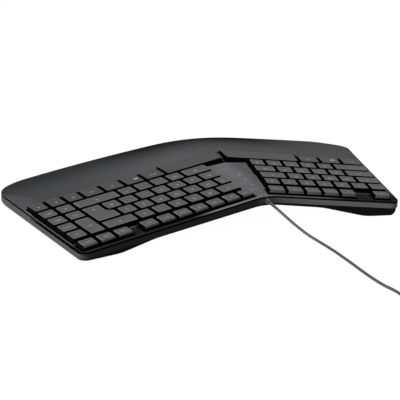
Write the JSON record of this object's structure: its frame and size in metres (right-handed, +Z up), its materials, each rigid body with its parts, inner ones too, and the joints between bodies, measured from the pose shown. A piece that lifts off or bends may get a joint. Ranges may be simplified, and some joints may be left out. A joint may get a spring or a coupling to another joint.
{
  "type": "split ergonomic keyboard",
  "caption": "Curved, tented keyboard with two angled key fields, a wide palm rest, an arched base and a cord with a put-away coil and plug.",
  "frame": {"origin": "middle of the bounding box in plan, on the desk plane under the feet", "axes": "+X to the typist's right, +Y away from the typist, to the rear, +Z up"},
  "size_m": [0.4082, 0.488, 0.0339],
  "materials": {
    "case_plastic": "fine matte texture",
    "key_plastic": "satin, worn smooth on top",
    "frame_plastic": "plain moulded",
    "foot_rubber": "dull",
    "screw_steel": "bright zinc",
    "dome_silicone": "translucent, dull",
    "membrane_film": "clear film with printed tracks",
    "plate_steel": "galvanised",
    "board_laminate": "solder mask",
    "lens_plastic": "clear",
    "cord_rubber": "satin",
    "tie_plastic": "smooth",
    "plug_steel": "stamped"
  },
  "bodies": {
    "housing": {"backing_plate_left": "plate_steel", "backing_plate_right": "plate_steel", "base_shell": "case_plastic", "case_screws": "screw_steel", "coil_tie": "tie_plastic", "controller_board": "board_laminate", "dome_sheet_left": "dome_silicone", "dome_sheet_right": "dome_silicone", "indicator_lenses": "lens_plastic", "key_frame_left": "frame_plastic", "key_frame_right": "frame_plastic", "membrane_left": "membrane_film", "membrane_right": "membrane_film", "rubber_feet": "foot_rubber", "strain_relief": "cord_rubber", "top_cover": "case_plastic", "usb_cord": "cord_rubber", "usb_cord_coil": "cord_rubber", "usb_plug": "cord_rubber", "usb_plug_shell": "plug_steel"},
    "function_keys_right": {"function_keys_right": "key_plastic"},
    "media_keys": {"media_keys": "key_plastic"},
    "number_keys_right": {"number_keys_right": "key_plastic"},
    "backspace_key": {"backspace_key": "key_plastic"},
    "delete_key": {"delete_key": "key_plastic"},
    "top_letter_keys_right": {"top_letter_keys_right": "key_plastic"},
    "home_letter_keys_right": {"home_letter_keys_right": "key_plastic"},
    "bottom_letter_keys_right": {"bottom_letter_keys_right": "key_plastic"},
    "shift_key_right": {"shift_key_right": "key_plastic"},
    "navigation_keys": {"navigation_keys": "key_plastic"},
    "end_key": {"end_key": "key_plastic"},
    "up_key": {"up_key": "key_plastic"},
    "right_arrow_key": {"right_arrow_key": "key_plastic"},
    "down_key": {"down_key": "key_plastic"},
    "left_arrow_key": {"left_arrow_key": "key_plastic"},
    "control_key_right": {"control_key_right": "key_plastic"},
    "menu_key": {"menu_key": "key_plastic"},
    "function_shift_key": {"function_shift_key": "key_plastic"},
    "alt_key_right": {"alt_key_right": "key_plastic"},
    "enter_key": {"enter_key": "key_plastic"},
    "space_bar_right": {"space_bar_right": "key_plastic"},
    "escape_key": {"escape_key": "key_plastic"},
    "function_keys_left": {"function_keys_left": "key_plastic"},
    "number_keys_left": {"number_keys_left": "key_plastic"},
    "accent_key": {"accent_key": "key_plastic"},
    "top_letter_keys_left": {"top_letter_keys_left": "key_plastic"},
    "tab_key": {"tab_key": "key_plastic"},
    "home_letter_keys_left": {"home_letter_keys_left": "key_plastic"},
    "caps_lock_key": {"caps_lock_key": "key_plastic"},
    "bottom_letter_keys_left": {"bottom_letter_keys_left": "key_plastic"},
    "shift_key_left": {"shift_key_left": "key_plastic"},
    "alt_key_left": {"alt_key_left": "key_plastic"},
    "system_key": {"system_key": "key_plastic"},
    "control_key_left": {"control_key_left": "key_plastic"},
    "space_bar_left": {"space_bar_left": "key_plastic"}
  },
  "joints": [
    {"name": "function_keys_right_press", "type": "slide", "parent": "housing", "child": "function_keys_right", "axis": [-0.0888, -0.0179, -0.9959], "range_m": [0, 0.0025], "stiffness_N_per_m": 180, "springref_m": -0.002, "deforming": ["dome_sheet_right"]},
    {"name": "media_keys_press", "type": "slide", "parent": "housing", "child": "media_keys", "axis": [-0.0888, -0.0179, -0.9959], "range_m": [0, 0.0025], "stiffness_N_per_m": 180, "springref_m": -0.002, "deforming": ["dome_sheet_right"]},
    {"name": "number_keys_right_press", "type": "slide", "parent": "housing", "child": "number_keys_right", "axis": [-0.0888, -0.0179, -0.9959], "range_m": [0, 0.0025], "stiffness_N_per_m": 180, "springref_m": -0.002, "deforming": ["dome_sheet_right"]},
    {"name": "backspace_key_press", "type": "slide", "parent": "housing", "child": "backspace_key", "axis": [-0.0888, -0.0179, -0.9959], "range_m": [0, 0.0025], "stiffness_N_per_m": 180, "springref_m": -0.002, "deforming": ["dome_sheet_right"]},
    {"name": "delete_key_press", "type": "slide", "parent": "housing", "child": "delete_key", "axis": [-0.0888, -0.0179, -0.9959], "range_m": [0, 0.0025], "stiffness_N_per_m": 180, "springref_m": -0.002, "deforming": ["dome_sheet_right"]},
    {"name": "top_letter_keys_right_press", "type": "slide", "parent": "housing", "child": "top_letter_keys_right", "axis": [-0.0888, -0.0179, -0.9959], "range_m": [0, 0.0025], "stiffness_N_per_m": 180, "springref_m": -0.002, "deforming": ["dome_sheet_right"]},
    {"name": "home_letter_keys_right_press", "type": "slide", "parent": "housing", "child": "home_letter_keys_right", "axis": [-0.0888, -0.0179, -0.9959], "range_m": [0, 0.0025], "stiffness_N_per_m": 180, "springref_m": -0.002, "deforming": ["dome_sheet_right"]},
    {"name": "bottom_letter_keys_right_press", "type": "slide", "parent": "housing", "child": "bottom_letter_keys_right", "axis": [-0.0888, -0.0179, -0.9959], "range_m": [0, 0.0025], "stiffness_N_per_m": 180, "springref_m": -0.002, "deforming": ["dome_sheet_right"]},
    {"name": "shift_key_right_press", "type": "slide", "parent": "housing", "child": "shift_key_right", "axis": [-0.0888, -0.0179, -0.9959], "range_m": [0, 0.0025], "stiffness_N_per_m": 180, "springref_m": -0.002, "deforming": ["dome_sheet_right"]},
    {"name": "navigation_keys_press", "type": "slide", "parent": "housing", "child": "navigation_keys", "axis": [-0.0888, -0.0179, -0.9959], "range_m": [0, 0.0025], "stiffness_N_per_m": 180, "springref_m": -0.002, "deforming": ["dome_sheet_right"]},
    {"name": "end_key_press", "type": "slide", "parent": "housing", "child": "end_key", "axis": [-0.0888, -0.0179, -0.9959], "range_m": [0, 0.0025], "stiffness_N_per_m": 180, "springref_m": -0.002, "deforming": ["dome_sheet_right"]},
    {"name": "up_key_press", "type": "slide", "parent": "housing", "child": "up_key", "axis": [-0.0888, -0.0179, -0.9959], "range_m": [0, 0.0025], "stiffness_N_per_m": 180, "springref_m": -0.002, "deforming": ["dome_sheet_right"]},
    {"name": "right_arrow_key_press", "type": "slide", "parent": "housing", "child": "right_arrow_key", "axis": [-0.0888, -0.0179, -0.9959], "range_m": [0, 0.0025], "stiffness_N_per_m": 180, "springref_m": -0.002, "deforming": ["dome_sheet_right"]},
    {"name": "down_key_press", "type": "slide", "parent": "housing", "child": "down_key", "axis": [-0.0888, -0.0179, -0.9959], "range_m": [0, 0.0025], "stiffness_N_per_m": 180, "springref_m": -0.002, "deforming": ["dome_sheet_right"]},
    {"name": "left_arrow_key_press", "type": "slide", "parent": "housing", "child": "left_arrow_key", "axis": [-0.0888, -0.0179, -0.9959], "range_m": [0, 0.0025], "stiffness_N_per_m": 180, "springref_m": -0.002, "deforming": ["dome_sheet_right"]},
    {"name": "control_key_right_press", "type": "slide", "parent": "housing", "child": "control_key_right", "axis": [-0.0888, -0.0179, -0.9959], "range_m": [0, 0.0025], "stiffness_N_per_m": 180, "springref_m": -0.002, "deforming": ["dome_sheet_right"]},
    {"name": "menu_key_press", "type": "slide", "parent": "housing", "child": "menu_key", "axis": [-0.0888, -0.0179, -0.9959], "range_m": [0, 0.0025], "stiffness_N_per_m": 180, "springref_m": -0.002, "deforming": ["dome_sheet_right"]},
    {"name": "function_shift_key_press", "type": "slide", "parent": "housing", "child": "function_shift_key", "axis": [-0.0888, -0.0179, -0.9959], "range_m": [0, 0.0025], "stiffness_N_per_m": 180, "springref_m": -0.002, "deforming": ["dome_sheet_right"]},
    {"name": "alt_key_right_press", "type": "slide", "parent": "housing", "child": "alt_key_right", "axis": [-0.0888, -0.0179, -0.9959], "range_m": [0, 0.0025], "stiffness_N_per_m": 180, "springref_m": -0.002, "deforming": ["dome_sheet_right"]},
    {"name": "enter_key_press", "type": "slide", "parent": "housing", "child": "enter_key", "axis": [-0.0888, -0.0179, -0.9959], "range_m": [0, 0.0025], "stiffness_N_per_m": 180, "springref_m": -0.002, "deforming": ["dome_sheet_right"]},
    {"name": "space_bar_right_press", "type": "slide", "parent": "housing", "child": "space_bar_right", "axis": [-0.0888, -0.0179, -0.9959], "range_m": [0, 0.0025], "stiffness_N_per_m": 180, "springref_m": -0.002, "deforming": ["dome_sheet_right"]},
    {"name": "escape_key_press", "type": "slide", "parent": "housing", "child": "escape_key", "axis": [0.0888, -0.0179, -0.9959], "range_m": [0, 0.0025], "stiffness_N_per_m": 180, "springref_m": -0.002, "deforming": ["dome_sheet_left"]},
    {"name": "function_keys_left_press", "type": "slide", "parent": "housing", "child": "function_keys_left", "axis": [0.0888, -0.0179, -0.9959], "range_m": [0, 0.0025], "stiffness_N_per_m": 180, "springref_m": -0.002, "deforming": ["dome_sheet_left"]},
    {"name": "number_keys_left_press", "type": "slide", "parent": "housing", "child": "number_keys_left", "axis": [0.0888, -0.0179, -0.9959], "range_m": [0, 0.0025], "stiffness_N_per_m": 180, "springref_m": -0.002, "deforming": ["dome_sheet_left"]},
    {"name": "accent_key_press", "type": "slide", "parent": "housing", "child": "accent_key", "axis": [0.0888, -0.0179, -0.9959], "range_m": [0, 0.0025], "stiffness_N_per_m": 180, "springref_m": -0.002, "deforming": ["dome_sheet_left"]},
    {"name": "top_letter_keys_left_press", "type": "slide", "parent": "housing", "child": "top_letter_keys_left", "axis": [0.0888, -0.0179, -0.9959], "range_m": [0, 0.0025], "stiffness_N_per_m": 180, "springref_m": -0.002, "deforming": ["dome_sheet_left"]},
    {"name": "tab_key_press", "type": "slide", "parent": "housing", "child": "tab_key", "axis": [0.0888, -0.0179, -0.9959], "range_m": [0, 0.0025], "stiffness_N_per_m": 180, "springref_m": -0.002, "deforming": ["dome_sheet_left"]},
    {"name": "home_letter_keys_left_press", "type": "slide", "parent": "housing", "child": "home_letter_keys_left", "axis": [0.0888, -0.0179, -0.9959], "range_m": [0, 0.0025], "stiffness_N_per_m": 180, "springref_m": -0.002, "deforming": ["dome_sheet_left"]},
    {"name": "caps_lock_key_press", "type": "slide", "parent": "housing", "child": "caps_lock_key", "axis": [0.0888, -0.0179, -0.9959], "range_m": [0, 0.0025], "stiffness_N_per_m": 180, "springref_m": -0.002, "deforming": ["dome_sheet_left"]},
    {"name": "bottom_letter_keys_left_press", "type": "slide", "parent": "housing", "child": "bottom_letter_keys_left", "axis": [0.0888, -0.0179, -0.9959], "range_m": [0, 0.0025], "stiffness_N_per_m": 180, "springref_m": -0.002, "deforming": ["dome_sheet_left"]},
    {"name": "shift_key_left_press", "type": "slide", "parent": "housing", "child": "shift_key_left", "axis": [0.0888, -0.0179, -0.9959], "range_m": [0, 0.0025], "stiffness_N_per_m": 180, "springref_m": -0.002, "deforming": ["dome_sheet_left"]},
    {"name": "alt_key_left_press", "type": "slide", "parent": "housing", "child": "alt_key_left", "axis": [0.0888, -0.0179, -0.9959], "range_m": [0, 0.0025], "stiffness_N_per_m": 180, "springref_m": -0.002, "deforming": ["dome_sheet_left"]},
    {"name": "system_key_press", "type": "slide", "parent": "housing", "child": "system_key", "axis": [0.0888, -0.0179, -0.9959], "range_m": [0, 0.0025], "stiffness_N_per_m": 180, "springref_m": -0.002, "deforming": ["dome_sheet_left"]},
    {"name": "control_key_left_press", "type": "slide", "parent": "housing", "child": "control_key_left", "axis": [0.0888, -0.0179, -0.9959], "range_m": [0, 0.0025], "stiffness_N_per_m": 180, "springref_m": -0.002, "deforming": ["dome_sheet_left"]},
    {"name": "space_bar_left_press", "type": "slide", "parent": "housing", "child": "space_bar_left", "axis": [0.0888, -0.0179, -0.9959], "range_m": [0, 0.0025], "stiffness_N_per_m": 180, "springref_m": -0.002, "deforming": ["dome_sheet_left"]}
  ]
}
